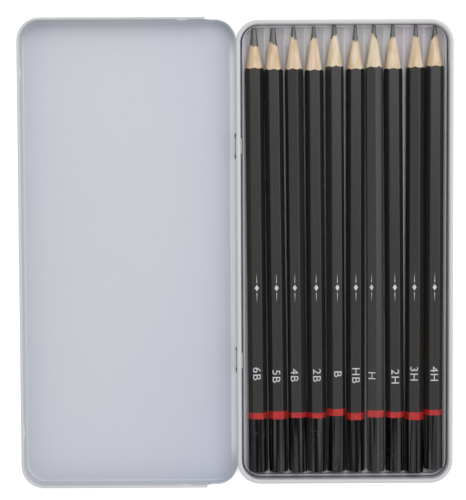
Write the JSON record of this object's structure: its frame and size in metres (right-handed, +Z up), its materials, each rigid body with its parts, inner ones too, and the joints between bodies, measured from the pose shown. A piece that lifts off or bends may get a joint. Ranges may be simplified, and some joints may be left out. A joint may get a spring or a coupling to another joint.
{
  "type": "graphite pencil set",
  "caption": "Hexagonal graphite pencils of graded hardness in a grooved plastic insert, in a shallow rectangular tin whose hinged lid folds flat open.",
  "frame": {"origin": "middle of the base tin's underside, on the table", "axes": "+X from the opened lid towards the front of the base tin, +Y along the pencils towards their points, +Z up"},
  "size_m": [0.1698, 0.1842, 0.0093],
  "materials": {
    "painted_tin": "satin",
    "insert_plastic": "gloss",
    "pencil_wood": "matte",
    "graphite_core": "satin",
    "black_lacquer": "satin",
    "red_ring": "satin",
    "black_dip": "gloss"
  },
  "bodies": {
    "base": {"tin_base": "painted_tin"},
    "lid": {"tin_lid": "painted_tin"},
    "insert": {"tray_insert": "insert_plastic"},
    "pencil_6b": {"pencil_6b_casing": "pencil_wood", "pencil_6b_core": "graphite_core", "pencil_6b_lacquer": "black_lacquer", "pencil_6b_ring": "red_ring", "pencil_6b_dip": "black_dip"},
    "pencil_5b": {"pencil_5b_casing": "pencil_wood", "pencil_5b_core": "graphite_core", "pencil_5b_lacquer": "black_lacquer", "pencil_5b_ring": "red_ring", "pencil_5b_dip": "black_dip"},
    "pencil_4b": {"pencil_4b_casing": "pencil_wood", "pencil_4b_core": "graphite_core", "pencil_4b_lacquer": "black_lacquer", "pencil_4b_ring": "red_ring", "pencil_4b_dip": "black_dip"},
    "pencil_2b": {"pencil_2b_casing": "pencil_wood", "pencil_2b_core": "graphite_core", "pencil_2b_lacquer": "black_lacquer", "pencil_2b_ring": "red_ring", "pencil_2b_dip": "black_dip"},
    "pencil_b": {"pencil_b_casing": "pencil_wood", "pencil_b_core": "graphite_core", "pencil_b_lacquer": "black_lacquer", "pencil_b_ring": "red_ring", "pencil_b_dip": "black_dip"},
    "pencil_hb": {"pencil_hb_casing": "pencil_wood", "pencil_hb_core": "graphite_core", "pencil_hb_lacquer": "black_lacquer", "pencil_hb_ring": "red_ring", "pencil_hb_dip": "black_dip"},
    "pencil_h": {"pencil_h_casing": "pencil_wood", "pencil_h_core": "graphite_core", "pencil_h_lacquer": "black_lacquer", "pencil_h_ring": "red_ring", "pencil_h_dip": "black_dip"},
    "pencil_2h": {"pencil_2h_casing": "pencil_wood", "pencil_2h_core": "graphite_core", "pencil_2h_lacquer": "black_lacquer", "pencil_2h_ring": "red_ring", "pencil_2h_dip": "black_dip"},
    "pencil_3h": {"pencil_3h_casing": "pencil_wood", "pencil_3h_core": "graphite_core", "pencil_3h_lacquer": "black_lacquer", "pencil_3h_ring": "red_ring", "pencil_3h_dip": "black_dip"},
    "pencil_4h": {"pencil_4h_casing": "pencil_wood", "pencil_4h_core": "graphite_core", "pencil_4h_lacquer": "black_lacquer", "pencil_4h_ring": "red_ring", "pencil_4h_dip": "black_dip"}
  },
  "joints": [
    {"name": "lid_hinge", "type": "hinge", "parent": "base", "child": "lid", "pos_m": [-0.04152, 0, 0.00747], "axis": [0, -1, 0], "range_deg": [-180, 0]},
    {"name": "insert_lift", "type": "slide", "parent": "base", "child": "insert", "axis": [0, 0, 1], "range_m": [0, 0.02]},
    {"name": "pencil_6b_lift", "type": "slide", "parent": "insert", "child": "pencil_6b", "axis": [0, 0, 1], "range_m": [0, 0.03]},
    {"name": "pencil_5b_lift", "type": "slide", "parent": "insert", "child": "pencil_5b", "axis": [0, 0, 1], "range_m": [0, 0.03]},
    {"name": "pencil_4b_lift", "type": "slide", "parent": "insert", "child": "pencil_4b", "axis": [0, 0, 1], "range_m": [0, 0.03]},
    {"name": "pencil_2b_lift", "type": "slide", "parent": "insert", "child": "pencil_2b", "axis": [0, 0, 1], "range_m": [0, 0.03]},
    {"name": "pencil_b_lift", "type": "slide", "parent": "insert", "child": "pencil_b", "axis": [0, 0, 1], "range_m": [0, 0.03]},
    {"name": "pencil_hb_lift", "type": "slide", "parent": "insert", "child": "pencil_hb", "axis": [0, 0, 1], "range_m": [0, 0.03]},
    {"name": "pencil_h_lift", "type": "slide", "parent": "insert", "child": "pencil_h", "axis": [0, 0, 1], "range_m": [0, 0.03]},
    {"name": "pencil_2h_lift", "type": "slide", "parent": "insert", "child": "pencil_2h", "axis": [0, 0, 1], "range_m": [0, 0.03]},
    {"name": "pencil_3h_lift", "type": "slide", "parent": "insert", "child": "pencil_3h", "axis": [0, 0, 1], "range_m": [0, 0.03]},
    {"name": "pencil_4h_lift", "type": "slide", "parent": "insert", "child": "pencil_4h", "axis": [0, 0, 1], "range_m": [0, 0.03]}
  ]
}
